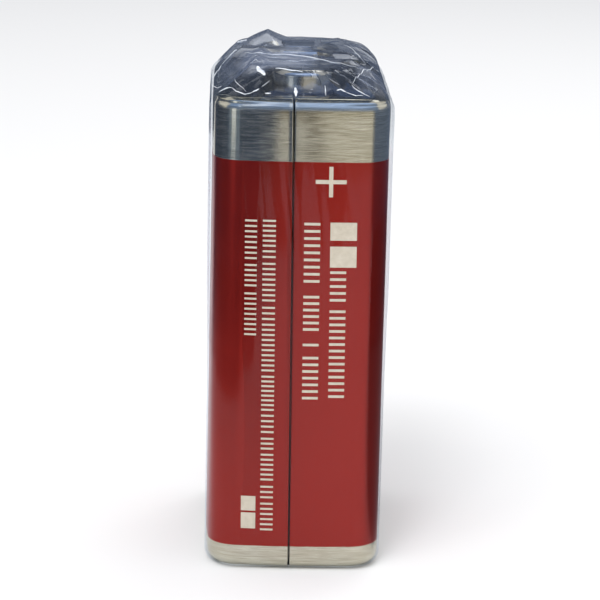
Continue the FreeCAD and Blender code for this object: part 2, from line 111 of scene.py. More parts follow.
def rounded_path(inset, count, corner=JACKET_CORNER, half_x=JACKET_HALF_WIDTH,
                 half_y=JACKET_HALF_LENGTH, least=0.3):
    """Points and outward normals of a rounded rectangle moved in by inset. Each of count
    stations keeps its share of the outline whatever the inset is: straight sides are
    walked evenly, and corners are walked evenly in angle."""
    shares = np.linspace(0, 1, count, endpoint=False)
    radius = max(corner - inset, least)
    straight_x, straight_y = half_x - corner, half_y - corner
    quarter = corner * np.pi / 2
    lengths = [straight_y, quarter, 2 * straight_x, quarter, 2 * straight_y, quarter,
               2 * straight_x, quarter, straight_y]
    ends = np.concatenate([[0], np.cumsum(lengths)]) / np.sum(lengths)
    angle = np.interp(shares, ends, np.array([0, 0, 1, 1, 2, 2, 3, 3, 4, 4]) * np.pi / 2)
    side_x = np.interp(shares, ends, [1, 1, 1, -1, -1, -1, -1, 1, 1, 1])
    side_y = np.interp(shares, ends, [0, 1, 1, 1, 1, -1, -1, -1, -1, 0])
    normal = np.stack([np.cos(angle), np.sin(angle)], axis=-1)
    x = side_x * (half_x - inset - radius) + normal[:, 0] * radius
    y = side_y * (half_y - inset - radius) + normal[:, 1] * radius
    return np.stack([x, y], axis=-1), normal


def step(value, start, end):
    """0 before start, 1 after end, and a smooth rise between them."""
    share = np.clip((value - start) / (end - start), 0, 1)
    return share * share * (3 - 2 * share)


# Jacket
def seam_line(height):
    """x of the seam at a height: it leans a little, as the whole print does."""
    return SEAM_X - LEAN * (height - MIDDLE_HEIGHT)


def front_relief(x, height):
    """How far the seamed end stands out from its flat: the left sheet is bowed back towards
    its corner, its edge curls in over a groove, and the right sheet rises from under it."""
    distance = x - seam_line(height)
    left = np.clip(-distance, 0, None)
    right = np.clip(distance, 0, None)
    bowed = -0.30 * np.clip(left / 5.2, 0, 1) ** 2 - 0.16 * np.clip(right / 5.9, 0, 1) ** 2
    curled = 0.035 * np.exp(-((left / 0.3) ** 2)) * (left > 0)
    rising = -0.055 * np.exp(-right / 0.9) * (right > 0)
    groove = -0.2 * np.exp(-((distance / 0.06) ** 2))
    return bowed + curled + rising + groove


def sheet_waves(points):
    """Long shallow waves of the drawn sheet, a few hundredths of a millimetre high."""
    x, y, z = points[..., 0], points[..., 1], points[..., 2]
    wave = 0.010 * np.sin(z / 3.7 + 1.3 * np.sin(y / 5 + x / 4))
    wave += 0.008 * np.sin(x / 1.9 + z / 9.0 + 0.7)
    wave += 0.009 * np.sin(y / 2.6 - z / 6.0)
    fade = step(z, 1.6, 4.5) * step(JACKET_HIGH - z, 1.4, 4.5)
    return (wave - 0.016) * fade


def dress_jacket():
    """The tinplate jacket: its wall's section, a closed line of inset and height, is
    carried round the rounded rectangle. At the seamed end the stations crowd to the seam, by
    their offset to the power of 2.2, and every outer point moves along its normal by the
    waves and the relief there. The seam attribute is 1 in the gap between the edges, where the
    material paints the gap's shade dark."""
    arc = np.linspace(0, np.pi / 2, 13)
    heights = np.linspace(JACKET_LOW + RIM_ROLL, JACKET_HIGH - RIM_ROLL, 84)[1:-1]
    lip = np.linspace(RIM_WIDTH, RIM_ROLL, 5)[:-1]
    rolled, risen = RIM_ROLL * (1 - np.sin(arc)), RIM_ROLL * (1 - np.cos(arc))
    inner = RIM_ROLL - SHEET
    edge = RIM_WIDTH + 0.02
    under, over = JACKET_HIGH - SHEET, JACKET_LOW + SHEET
    outside = np.vstack([
        np.stack([lip, np.full_like(lip, JACKET_LOW)], axis=-1),
        np.stack([rolled, JACKET_LOW + risen], axis=-1),
        np.stack([np.zeros_like(heights), heights], axis=-1),
        np.stack([risen, JACKET_HIGH - rolled], axis=-1),
        np.stack([lip[::-1], np.full_like(lip, JACKET_HIGH)], axis=-1),
    ])
    inside = np.vstack([
        [[edge, JACKET_HIGH - SHEET_EDGE], [edge, under + SHEET_EDGE], [RIM_WIDTH, under]],
        np.stack([RIM_ROLL - inner * np.cos(arc[::-1]),
                  JACKET_HIGH - RIM_ROLL + inner * np.sin(arc[::-1])], axis=-1),
        np.stack([RIM_ROLL - inner * np.cos(arc),
                  JACKET_LOW + RIM_ROLL - inner * np.sin(arc)], axis=-1),
        [[RIM_WIDTH, over], [edge, over - SHEET_EDGE], [edge, JACKET_LOW + SHEET_EDGE]],
    ])
    section = np.vstack([outside, inside])
    # with this many stations, the piece stays under 200,000 triangles
    count = 660
    rings = []
    for inset, height in section:
        path, normal = rounded_path(inset, count)
        rings.append(np.column_stack([path, np.full(count, height), normal]))
    rings = np.array(rings)
    points, normals = rings[..., :3], rings[..., 3:]
    x, height = points[..., 0].copy(), points[..., 2].copy()
    half = JACKET_HALF_WIDTH - JACKET_CORNER
    flat = (points[..., 1] < -JACKET_HALF_LENGTH + RIM_WIDTH + 0.1) & (np.abs(x) < half)
    offset = np.clip(x / half, -1, 1)
    crowded = np.sign(offset) * np.abs(offset) ** 2.2
    points[..., 0] = np.where(flat, crowded * half + seam_line(height) * (1 - crowded**2), x)
    outer = len(outside)
    depth = sheet_waves(points[:outer])
    # the bow of the left sheet dies out round its corner
    front = step(-points[:outer, :, 1], 6.5, 12.4)
    depth += front * front_relief(points[:outer, :, 0], height[:outer])
    depth = np.where(height[:outer] > JACKET_HIGH - 0.4, 0.4 * depth, depth)
    points[:outer, :, :2] += normals[:outer] * depth[..., None]
    distance = points[:outer, :, 0] - seam_line(height[:outer])
    top = (height[:outer] > JACKET_HIGH - 0.3) & flat[:outer]
    points[:outer, :, 2] -= np.where(top, 0.12 * np.exp(-((distance / 0.1) ** 2)), 0)
    # painted shade: 1 in the gap between the seam's edges, where the material paints the gap near
    # black
    painted_seam_shade = np.zeros(points.shape[:2])
    painted_seam_shade[:outer] = flat[:outer] * step(-np.abs(distance), -0.12, -0.07)
    faces = grid_faces(len(section), count, True, True)
    piece = piece_from("jacket_sheet", points[:, ::-1], faces)
    seam = piece.data.attributes.new("seam", "FLOAT", "POINT")
    seam.data.foreach_set("value", painted_seam_shade[:, ::-1].ravel().astype(np.float32))
    return piece


# Print: plain bars and ticks of cream ink, no letters
def bars_of_words():
    """Limits of every printed mark at the seamed end, as x and height pairs: each line of
    print is a row of plain ticks, grouped as words are."""
    lines = (
        (3.00, 4.52, 0.62, ((29.96, 26.97), (26.15, 17.49))),
        (0.50, 2.01, 0.62, ((34.62, 28.77), (27.55, 24.12), (22.85, 22.25), (21.56, 17.30))),
        (-3.39, -2.17, 0.46, ((34.83, 32.23), (31.89, 31.07), (30.68, 26.89), (26.40, 25.03),
                              (24.74, 20.01), (19.61, 16.13), (15.73, 13.83), (13.43, 12.22),
                              (11.82, 9.10), (8.59, 7.27), (6.87, 4.01))),
        (-5.07, -3.94, 0.46, ((34.80, 30.94), (30.51, 28.32), (27.74, 23.53))),
    )
    bars = [
        (2.96, 5.47, 32.94, 34.67), (2.96, 5.47, 30.33, 32.36),
        (-5.25, -3.85, 6.03, 7.50), (-5.25, -3.85, 4.22, 5.82),
        (1.51, 4.41, 38.36, 38.74), (2.77, 3.15, 37.10, 38.36), (2.77, 3.15, 38.74, 40.0),
    ]
    for low_x, high_x, pitch, words in lines:
        for high, low in words:
            ticks = max(1, round((high - low) / pitch))
            gap = (high - low + 0.6 * pitch) / ticks
            tops = high - gap * np.arange(ticks)
            bars += [(low_x, high_x, top - 0.4 * pitch, top) for top in tops]
    return np.array(bars)


def print_marks(name, bars, end=-1):
    """Thin closed plates that follow the jacket's end: for each bar, a loop of top and
    underside points across its width is carried along its height."""
    across, along = 8, 6
    share = np.linspace(0, 1, across)
    share = np.concatenate([share, share[::-1]])
    lift = np.concatenate([np.full(across, PLATE_LIFT), np.full(across, -PLATE_LIFT)])
    rise = np.linspace(0, 1, along)
    x = bars[:, 0, None, None] + (bars[:, 1] - bars[:, 0])[:, None, None] * share
    z = bars[:, 2, None, None] + (bars[:, 3] - bars[:, 2])[:, None, None] * rise[:, None]
    # the print leans about its own middle
    x, z = np.broadcast_arrays(x - LEAN * (z - PRINT_MIDDLE), z)
    beyond = np.clip(np.abs(x) - (JACKET_HALF_WIDTH - JACKET_CORNER), 0, None)
    out = JACKET_HALF_LENGTH - JACKET_CORNER + np.sqrt(JACKET_CORNER**2 - beyond**2)
    surface = np.stack([x, end * out, z], axis=-1)
    relief = sheet_waves(surface) + (front_relief(x, z) if end < 0 else 0)
    surface[..., 1] = end * (out + relief + lift)
    if end < 0:
        surface = surface[:, :, ::-1]
    faces = []
    for number in range(len(bars)):
        first = number * along * 2 * across
        faces += grid_faces(along, 2 * across, True, False, first)
        last = first + (along - 1) * 2 * across
        for low in range(across - 1):
            far = 2 * across - 1 - low
            faces.append([first + low, first + far, first + far - 1, first + low + 1])
            faces.append([last + low, last + low + 1, last + far - 1, last + far])
    piece = piece_from(name, surface, faces)
    plain = piece.data.polygons
    plain.foreach_set("use_smooth", np.zeros(len(plain), dtype=bool))
    return piece


# Stud
def polished_stud():
    """The positive stud: an outline of radius and height turned about the stud's axis. Its
    wall stands straight, bowed out by a hundredth of a millimetre, and its crown is a quarter
    of an ellipse between the wall and the rolled mouth."""
    arc = np.linspace(0, np.pi / 2, 12)
    rise = np.linspace(STUD_FOOT_BEND, STUD_WALL_TOP, 16)[1:-1]
    crown_height = TERMINAL_TOP - COVER_TOP - STUD_WALL_TOP
    wall = STUD_RADIUS - 0.01 * ((rise - 1.0) / 0.72) ** 2
    roll = (STUD_CROWN_RADIUS - STUD_MOUTH_RADIUS) / 2
    middle = STUD_MOUTH_RADIUS + roll
    inner = STUD_RADIUS - TERMINAL_SHEET
    outline = np.vstack([
        [[STUD_HOLE_RADIUS, TERMINAL_SHEET], [STUD_HOLE_RADIUS, 0]],
        np.stack([STUD_RADIUS - STUD_FOOT_BEND * (1 - np.sin(arc)),
                  STUD_FOOT_BEND * (1 - np.cos(arc))], axis=-1),
        np.stack([wall, rise], axis=-1),
        np.stack([middle + (STUD_RADIUS - middle) * np.cos(arc),
                  STUD_WALL_TOP + crown_height * np.sin(arc)], axis=-1),
        np.stack([middle - roll * np.sin(arc),
                  TERMINAL_TOP - COVER_TOP - roll * (1 - np.cos(arc))], axis=-1),
        [[STUD_MOUTH_RADIUS + 0.05, 1.95], [inner - 0.1, 1.6], [inner, 1.4], [inner, 0.5],
         [inner - 0.1, TERMINAL_SHEET + 0.02], [inner - 0.2, TERMINAL_SHEET]],
    ])
    around = 128
    turn = np.linspace(0, 2 * np.pi, around, endpoint=False)[:, None]
    points = np.stack([outline[:, 0] * np.cos(turn), outline[:, 0] * np.sin(turn) - TERMINAL_Y,
                       np.tile(outline[:, 1] + COVER_TOP, (around, 1))], axis=-1)
    return piece_from("polished_stud", points, grid_faces(around, len(outline), True, True))


# Film
def jump(number, seed):
    """A number from 0 to 1 that jumps about from one whole number to the next."""
    return np.modf(np.abs(np.sin(12.9898 * number + 78.233 * seed)) * 4375.85)[0]


FOLDS = (
    # two ends in plan, height, and half width
    ((-3.1, 10.2), (-3.3, 6.4), 0.9, 2.0),
    ((-3.3, 6.4), (-4.2, -5.0), 0.35, 1.0),
    ((-6.2, 1.8), (-0.2, 0.8), 0.45, 0.9),
    ((-0.2, 0.8), (5.8, -2.4), 0.45, 0.9),
    ((4.6, -5.6), (7.2, -9.6), 0.7, 1.3),
    ((-4.3, -6.0), (-7.0, -9.8), 0.6, 1.1),
    ((4.8, 9.4), (1.8, 3.4), 0.15, 1.1),
)
# creases that run at an angle in degrees: angle, pitch and height
CRUMPLES = ((24.0, 4.7, 0.05), (79.0, 5.9, 0.09), (141.0, 3.7, 0.04))
FINE_CRUMPLES = ((8.0, 1.9, 0.015), (62.0, 1.3, 0.008), (117.0, 2.3, 0.012), (155.0, 1.1, 0.006))


def fold_rise(x, y):
    """Height of the pinched folds: over each fold's line, a ridge that falls off evenly to
    both sides. Where two overlap, the higher one counts."""
    rise = np.zeros_like(x)
    for (x0, y0), (x1, y1), height, half_width in FOLDS:
        run_x, run_y = x1 - x0, y1 - y0
        share = np.clip(((x - x0) * run_x + (y - y0) * run_y) / (run_x**2 + run_y**2), 0, 1)
        distance = np.hypot(x - x0 - share * run_x, y - y0 - share * run_y)
        rise = np.maximum(rise, height * (1 - distance / half_width))
    return rise


def crumple(x, y, waves):
    """Height of shallow creases: triangle waves that cross one another."""
    rise = np.zeros_like(x)
    for direction, pitch, height in waves:
        turn = math.radians(direction)
        share = (x * math.cos(turn) + y * math.sin(turn)) / pitch % 1
        rise += height * np.abs(2 * share - 1)
    return rise


def film_path(inset, count):
    """The rounded rectangle that the film lies on, a film's cover outside the jacket's."""
    return rounded_path(inset, count, JACKET_CORNER + FILM_COVER,
                        JACKET_HALF_WIDTH + FILM_COVER, JACKET_HALF_LENGTH + FILM_COVER,
                        FILM_LEAST_CORNER)


def film_sleeve(count):
    """Rings of the film from the opening in the base, round the roll and up the sides to
    the shoulder: points, outward normals, and how slack the film is at each. It grows slack
    from 0.4 of the jacket's height, by an amount that jumps from one to the next of 40
    stretches of the outline, and has fine upright wrinkles: the cube of a wavering sine."""
    roll = RIM_ROLL + FILM_COVER
    top = JACKET_HIGH + FILM_COVER
    arc = np.linspace(0, np.pi / 2, 9)
    leave = np.linspace(0, math.radians(SHOULDER_LEFT_AT), 6)
    upright = np.linspace(roll, top - roll, 40)[1:-1]
    insets = np.concatenate([[roll + FILM_LIP, roll + FILM_LIP / 2], roll - roll * np.sin(arc),
                             np.zeros_like(upright), roll - roll * np.cos(leave)])
    heights = np.concatenate([[0, 0], roll - roll * np.cos(arc), upright,
                              top - roll + roll * np.sin(leave)])
    rings = []
    for inset, height in zip(insets, heights):
        path, normal = film_path(inset, count)
        rings.append(np.column_stack([path, np.full(count, height), normal]))
    rings = np.array(rings)
    points, normals = rings[..., :3], rings[..., 3:]
    share = (points[..., 2] - JACKET_LOW) / (JACKET_HIGH - JACKET_LOW)
    share = np.clip((share - FILM_LOOSE_FROM) / (1 - FILM_LOOSE_FROM), 0, 1)
    stretches = 40
    ends = np.arange(stretches + 1)
    station = np.arange(count) / count * stretches
    loose = 0.35 + 0.65 * np.interp(station, ends, jump(ends % stretches, 5))
    swell = np.minimum(np.minimum(1, 3 * share), 12 * (1.03 - share))
    slack = FILM_LOOSE * swell * loose * (1 - 0.3 * points[..., 0] / JACKET_HALF_WIDTH)
    turn = station / stretches * 2 * np.pi
    waver = 2 * np.sin(points[..., 2] / 6) + 3 * np.sin(3 * turn)
    wrinkle = 0.5 + 0.5 * np.sin(31 * turn + waver)
    return points, normals, slack + 0.04 * share * wrinkle**3


def dress_film():
    """The clear film: its sleeve, then rings over the shoulder into the hood. In plan the
    rings go from the sleeve to a crest, a superellipse round both terminals, and then to a
    line between them. The height climbs from the shoulder to the crest by a power of the
    way there, and pleats, pinched folds and crossing creases are added to it. The milkiness
    attribute is the share of light that the film's layers scatter where they lie together."""
    count = 640
    sleeve, normals, slack = film_sleeve(count)
    tight, _ = film_path(RIM_ROLL + FILM_COVER, count)
    sleeve[..., :2] += normals * slack[..., None]
    start = sleeve[-1, :, :2]
    across = np.abs(tight[:, 0]) / JACKET_HALF_WIDTH
    along = np.abs(tight[:, 1]) / JACKET_HALF_LENGTH
    size = (across**HOOD_SQUARENESS + along**HOOD_SQUARENESS) ** (1 / HOOD_SQUARENESS)
    low_y = -TERMINAL_Y - STUD_RADIUS - HOOD_MARGIN
    high_y = TERMINAL_Y + SOCKET_LIP_RADIUS + HOOD_MARGIN / 2
    crest_y = (high_y + low_y) / 2
    crest_y += np.sign(tight[:, 1]) * along / size * (high_y - low_y) / 2
    part = (crest_y + TERMINAL_Y) / (2 * TERMINAL_Y)
    crest_x = STUD_RADIUS + part * (SOCKET_LIP_RADIUS - STUD_RADIUS) + HOOD_SPREAD
    spread = np.where(tight[:, 0] < 0, HOOD_SPREAD_LEFT, HOOD_SPREAD_RIGHT)
    crest_x += spread * np.clip(part, 0, 1)
    crest = np.stack([np.sign(tight[:, 0]) * across / size * crest_x, crest_y], axis=-1)
    middle_y = np.clip(tight[:, 1] / (JACKET_HALF_LENGTH - JACKET_CORNER), -1, 1)
    middle = np.stack([np.zeros(count), TERMINAL_Y * middle_y], axis=-1)
    cornering = np.clip(2.2 * (across + along) - 3.0, 0, 1)
    # 40 pleats, each on the odd stations, all but smoothed out on the left side
    marks = np.arange(81)
    pleats = np.interp(np.arange(count) / 8, marks, jump(marks % 80, 2) * (marks % 2))
    smooth = 1 - 0.85 * step(-tight[:, 0], 4.0, 6.5)
    pleats *= (PLEAT_HEIGHT + CORNER_PLEAT_HEIGHT * cornering) * smooth
    pleats += HOOD_BELLY
    slope_rows, top_rows = 36, 44
    top = sleeve[-1, :, 2].mean()
    crest_z = TERMINAL_TOP + HOOD_LIFT + FILM_WALL
    number = np.arange(1, slope_rows + top_rows + 1)[:, None]
    climb = np.minimum(1, number / slope_rows)
    blend = np.maximum(0, (number - slope_rows) / top_rows)[..., None]
    # the film stands up from the shoulder before it leans in over the terminals
    plan = crest + (middle - crest) * blend
    right = np.clip(0.5 + tight[:, 0] / STUD_RADIUS / 2, 0, 1)
    plan = start + (plan - start) * (climb ** (1 + 0.35 * right))[..., None]
    x, y = plan[..., 0], plan[..., 1]
    height = top + (crest_z - top) * climb ** (1 - 0.25 * right)
    height += pleats * np.sin(np.pi * climb)
    height += (crumple(x, y, CRUMPLES) + fold_rise(x, y)) * climb
    height += crumple(x, y, FINE_CRUMPLES) * np.minimum(1, 4 * climb)
    hood = np.dstack([plan, height])
    grid = np.concatenate([sleeve, hood])
    piece = piece_from("film_bag", grid, grid_faces(len(grid), count, True))
    # milky all over the top, most in the plane between the terminals, then on the right
    # facet, in front of the stud's foot, and over the shoulder at the far end
    top_haze = 0.02 + (0.07 - 0.04 * step(x, 1.0, 4.0)) * step(y, -10.0, -6.0)
    plane_haze = 0.55 * np.exp(-(((x + 2.4) / 3.4) ** 4) - ((y + 3.9) / 4.4) ** 4)
    facet_haze = 0.2 * step(x, 4.6, 5.6) * step(-y, 2.0, 6.0)
    foot_haze = 0.14 * np.exp(-((x / 2.7) ** 4)) * step(-y, 11.5, 12.0)
    milky = np.max([top_haze, plane_haze, facet_haze, foot_haze], axis=0)
    milky = np.maximum(milky * np.minimum(1, 3 * climb), 0.5 * step(y, 11.6, 12.3))
    milky = np.concatenate([np.zeros(sleeve.shape[:2]), milky])
    layered = piece.data.attributes.new("milkiness", "FLOAT", "POINT")
    layered.data.foreach_set("value", milky.ravel().astype(np.float32))
    return piece, hood


# whitened creases, and painted glints and highlights of light, all drawn as the same white spindles
CREASES_AND_GLINTS = (
    # half width at its middle, then the points in plan that it passes
    (0.045, (-5.5, 0.0), (-4.7, -1.1), (-3.8, -2.2), (-2.6, -0.7), (-1.4, -1.0), (0.0, -1.7),
     (1.0, -2.4), (2.3, -4.2), (3.2, -5.7), (4.3, -7.2), (5.4, -7.6)),
    (0.055, (7.7, -0.2), (6.8, -3.2), (6.3, -4.9), (5.8, -8.0), (5.2, -9.8), (4.5, -11.85)),
    (0.05, (4.5, -11.85), (4.7, -12.07), (5.1, -12.22), (5.65, -12.3), (6.2, -12.35)),
    # painted glints: small bright arches low on the right of the hood
    (0.1, (3.1, -12.35), (3.5, -12.2), (3.95, -12.3)),
    (0.04, (3.9, -12.3), (4.3, -12.4), (4.9, -12.5), (5.6, -12.42)),
    (0.035, (-8.6, -5.3), (-8.1, -6.9), (-7.6, -7.4)),
    (0.07, (-7.85, -9.65), (-7.2, -10.04), (-6.65, -10.5)),
    (0.06, (-6.65, -10.5), (-6.26, -11.44), (-5.5, -12.12), (-4.95, -12.11), (-4.5, -11.97)),
    (0.09, (-4.7, -12.0), (-4.4, -11.95), (-4.1, -11.8)),
    (0.03, (-3.9, -11.65), (-3.5, -11.34), (-3.1, -11.0)),
    (0.03, (-6.4, -8.7), (-6.3, -9.7), (-5.9, -10.7), (-5.3, -11.9)),
    (0.07, (-8.56, -3.1), (-8.4, -0.2), (-8.1, 3.0), (-7.7, 4.2)),
    (0.04, (-7.7, 4.2), (-7.1, 3.6), (-6.4, 3.7), (-5.8, 1.7)),
    (0.12, (-6.2, 6.3), (-5.7, 7.2), (-5.2, 7.9)),
    (0.03, (4.4, 5.8), (5.2, 3.7), (5.8, 0.7), (6.4, -2.9)),
    (0.08, (-3.55, -12.16), (-3.0, -12.16)),
    # painted highlights: the stud rim's highlight, a glint on a flat facet, and the stud's two
    # upright glints
    (0.09, (-2.6, -9.3), (-1.3, -10.0), (0.0, -10.3)),
    (0.44, (-4.25, -7.3), (-3.9, -8.9), (-3.6, -10.1)),
    (0.22, (-0.75, -11.9), (-0.7, -12.2), (-0.68, -12.45)),
    (0.05, (2.0, -11.9), (2.05, -12.2), (2.1, -12.5)),
    (0.02, (-5.0, -4.9), (-4.2, -6.6), (-3.6, -6.7)),
)


def film_creases_and_glints(hood):
    """Sharp creases, where the film has whitened, and painted glints and highlights of light in the
    same white: each is a fine spindle, oval in section and pointed at both ends, laid along a
    smooth line on the hood. The line is the running mean of its plan points, with hanning weights,
    and the hood's height at a point is the mean of its nearest points, weighted by nearness. The
    half width is that of the middle times a power of the sine of the way along, and wavers a
    little."""
    surface = hood.reshape(-1, 3)
    steps, around, finer, nearest = 60, 8, 4, 8
    points, faces = [], []
    for half_width, *plan in CREASES_AND_GLINTS:
        plan = np.array(plan)
        knots = np.concatenate([[0], np.cumsum(np.hypot(*np.diff(plan, axis=0).T))])
        spread = np.linspace(0, knots[-1], finer * steps)
        window = np.hanning(steps // 2 + 3)
        window /= window.sum()
        ends = len(window) // 2
        line = [np.interp(spread, knots, part) for part in plan.T]
        line = [np.pad(part, ends, mode="reflect", reflect_type="odd") for part in line]
        line = [np.convolve(part, window, "valid")[::finer][:steps] for part in line]
        line = np.stack(line, axis=-1)
        away = np.hypot(line[:, None, 0] - surface[:, 0], line[:, None, 1] - surface[:, 1])
        near = np.argsort(away, axis=1)[:, :nearest]
        weight = 1 / (np.take_along_axis(away, near, 1) + 0.02) ** 2
        height = (surface[near, 2] * weight).sum(1) / weight.sum(1)
        middle = np.column_stack([line, height + CREASE_LIFT])
        run = np.gradient(middle, axis=0)
        run /= np.linalg.norm(run, axis=1)[:, None]
        side = np.cross(run, [0, 0, 1])
        side /= np.linalg.norm(side, axis=1)[:, None]
        up = np.cross(side, run)
        along = np.linspace(0.01, 0.99, steps)
        width = half_width * np.sin(np.pi * along) ** 0.6
        width *= 0.75 + 0.25 * np.sin(31 * along) * np.sin(17 * along + 1)
        turn = np.linspace(0, 2 * np.pi, around, endpoint=False)
        thickness = np.minimum(width, CREASE_THICKNESS)
        ring = (side[:, None] * np.cos(turn)[:, None] * width[:, None, None]
                + up[:, None] * np.sin(turn)[:, None] * thickness[:, None, None])
        first = sum(len(p) for p in points)
        points.append((middle[:, None] + ring).reshape(-1, 3))
        faces += grid_faces(steps, around, True, False, first)
        faces.append([first + i for i in range(around)][::-1])
        faces.append([first + (steps - 1) * around + i for i in range(around)])
    return piece_from("film_creases_and_glints", np.concatenate(points), faces)


# Materials
def linear(code):
    """sRGB hex to the linear colour that a shader takes."""
    parts = [int(code[i:i + 2], 16) / 255 for i in (1, 3, 5)]
    return [p / 12.92 if p <= 0.04045 else ((p + 0.055) / 1.055) ** 2.4 for p in parts] + [1.0]


def add(tree, kind, inputs=None, out=0, **settings):
    """Adds a node with its settings and returns one of its outputs. Each of its inputs, by
    name or number, is linked to a given output or set: to a hex colour or to a value."""
    made = tree.nodes.new(kind)
    for key, value in settings.items():
        setattr(made, key, value)
    for key, value in (inputs or {}).items():
        if isinstance(value, bpy.types.NodeSocket):
            tree.links.new(value, made.inputs[key])
        else:
            made.inputs[key].default_value = linear(value) if isinstance(value, str) else value
    return made.outputs[out] if made.outputs else made


def material(name):
    """An empty node material: itself and its tree."""
    made = bpy.data.materials.new(name)
    made.use_nodes = True
    made.node_tree.nodes.clear()
    return made, made.node_tree


def tinplate_printed():
    """Tinplate, rolled bright, brushed, and lacquered red between two bare bands: the bare
    tin shows fine lines round the battery and mirrors sharply to the sides but spreads light
    up and down, and the lacquer is an even, glossy red with the metal's sheen."""
    made, tree = material("lacquered_tinplate")
    place = add(tree, "ShaderNodeTexCoord", out="Object")
    height = add(tree, "ShaderNodeSeparateXYZ", {0: place}, out="Z")
    # the print's edges are ragged by a few hundredths of a millimetre
    ragged = add(tree, "ShaderNodeTexNoise", {"Vector": place, "Scale": 1 / (0.4 * MM)})
    ragged = add(tree, "ShaderNodeMapRange", {0: ragged, 3: -0.03 * MM, 4: 0.03 * MM})
    height = add(tree, "ShaderNodeMath", {0: height, 1: ragged}, operation="ADD")
    above = add(tree, "ShaderNodeMapRange", {
        0: height, 1: (RED_LOW - 0.03) * MM, 2: (RED_LOW + 0.03) * MM})
    below = add(tree, "ShaderNodeMapRange", {
        0: height, 1: (RED_HIGH + 0.03) * MM, 2: (RED_HIGH - 0.03) * MM})
    printed = add(tree, "ShaderNodeMath", {0: above, 1: below}, operation="MULTIPLY")
    # brushing lies round the battery: 0.07 mm apart and 1.7 mm long, coarser than the real
    # one, so that it shows
    turned = add(tree, "ShaderNodeMapping", {"Vector": place, "Scale": (1 / 24, 1 / 24, 1)})
    brushed = add(tree, "ShaderNodeTexNoise", {"Vector": turned, "Scale": 1 / (0.07 * MM)})
    cloudy = add(tree, "ShaderNodeTexNoise", {"Vector": place, "Scale": 1 / (6 * MM)})
    tin = add(tree, "ShaderNodeMix", {0: brushed, 6: "#8f8772", 7: "#f6efdb"}, 2, data_type="RGBA")
    dulled = add(tree, "ShaderNodeMapRange", {0: cloudy, 1: 0.35, 2: 0.7, 4: 0.4})
    tin = add(tree, "ShaderNodeMix", {0: dulled, 6: tin, 7: "#b9ad92"}, 2, data_type="RGBA")
    red = add(tree, "ShaderNodeMix", {0: cloudy, 6: "#931d13", 7: "#a12419"}, 2, data_type="RGBA")
    colour = add(tree, "ShaderNodeMix", {0: printed, 6: tin, 7: red}, 2, data_type="RGBA")
    # painted shade in the seam's gap: near black where the seam attribute is 1
    seam = add(tree, "ShaderNodeAttribute", out="Fac", attribute_name="seam")
    colour = add(tree, "ShaderNodeMix", {0: seam, 6: colour, 7: "#141210"}, 2, data_type="RGBA")
    bare_rough = add(tree, "ShaderNodeMapRange", {0: brushed, 1: 0.3, 2: 0.7, 3: 0.14, 4: 0.26})
    # the rolled rims were burnished by the tool, so they mirror what stands on them
    rim = add(tree, "ShaderNodeMapRange", {0: height, 1: 45.8 * MM, 2: 46.2 * MM, 4: 0.85})
    bare_rough = add(tree, "ShaderNodeMix", {0: rim, 2: bare_rough, 3: 0.06})
    red_rough = add(tree, "ShaderNodeMapRange", {0: cloudy, 1: 0.3, 2: 0.7, 3: 0.29, 4: 0.35})
    rough = add(tree, "ShaderNodeMix", {0: printed, 2: bare_rough, 3: red_rough})
    metal = add(tree, "ShaderNodeMapRange", {0: printed, 3: 1.0, 4: 0.82})
    strength = add(tree, "ShaderNodeMapRange", {0: printed, 3: 0.14, 4: 0.005})
    bump = add(tree, "ShaderNodeBump", {
        "Height": brushed, "Strength": strength, "Distance": 0.01 * MM})
    # light spreads across the brushing, so up and down
    shader = add(tree, "ShaderNodeBsdfPrincipled", {
        "Base Color": colour, "Metallic": metal, "Roughness": rough, "Normal": bump,
        "Anisotropic": 0.75, "Anisotropic Rotation": 0.25})
    add(tree, "ShaderNodeOutputMaterial", {0: shader})
    return made


